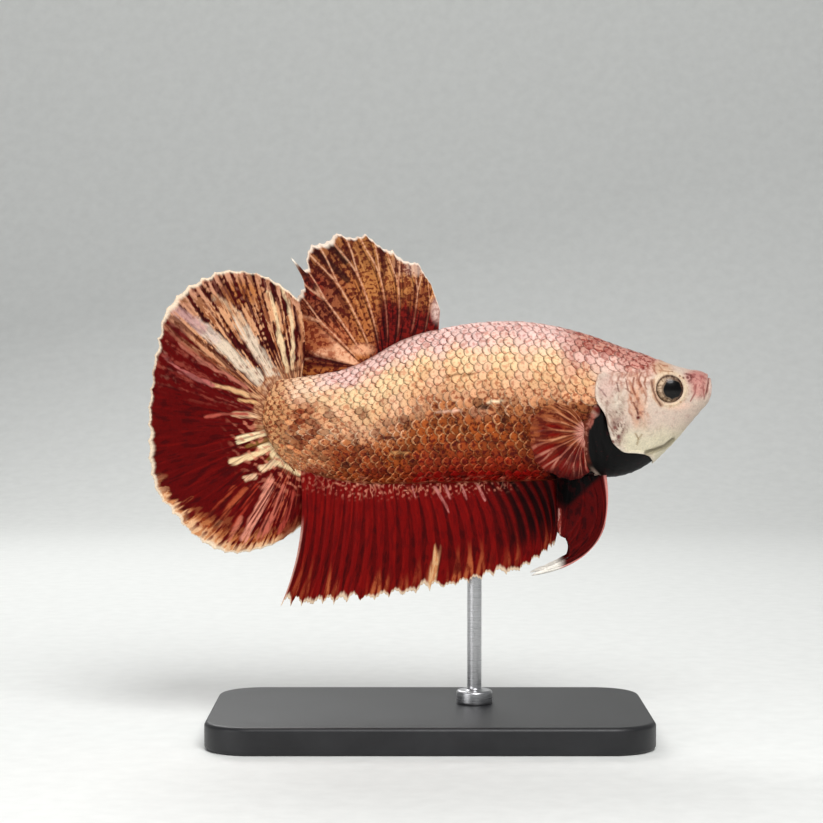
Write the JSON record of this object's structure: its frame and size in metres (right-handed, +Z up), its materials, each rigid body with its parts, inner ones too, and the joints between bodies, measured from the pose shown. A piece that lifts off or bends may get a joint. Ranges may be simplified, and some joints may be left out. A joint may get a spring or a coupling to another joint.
{
  "type": "betta fish display model",
  "caption": "Life-size still model of a short-finned male betta fish on a plain stand: scaled body, ray fins and flared gill membrane held over a flat base by a rod.",
  "frame": {"origin": "centre of the model's box at the underside of the stand's base", "axes": "+X towards the fish's snout, +Y to its left side, +Z up"},
  "size_m": [0.062, 0.028, 0.0554],
  "materials": {
    "head_skin": "smooth damp skin, pale cream with pink and grey flecks",
    "membrane": "soft black folded membrane",
    "scales": "glossy overlapping scales, rose at the back, cream at the middle, copper and dark red below",
    "eye": "clear wet cornea over a dark pupil and an olive iris",
    "copper_fin": "thin rayed membrane, copper with maroon streaks",
    "red_fin": "thin rayed membrane, deep crimson with pale streaks and a cream edge",
    "clear_fin": "very thin rayed membrane, rosy",
    "base": "satin black plastic",
    "rod": "turned and brushed"
  },
  "bodies": {
    "root": {"head": "head_skin", "lower_jaw": "head_skin", "gill_cover_right": "head_skin", "gill_cover_left": "head_skin", "gill_membrane": "membrane", "trunk": "scales", "tail_stem": "scales", "eye_right": "eye", "eye_left": "eye", "dorsal_fin": "copper_fin", "caudal_fin": "red_fin", "anal_fin": "red_fin", "pelvic_fin_right": "red_fin", "pelvic_fin_left": "red_fin", "pectoral_fin_right": "clear_fin", "pectoral_fin_left": "clear_fin", "stand_base": "base", "stand_rod": "rod"}
  },
  "joints": []
}
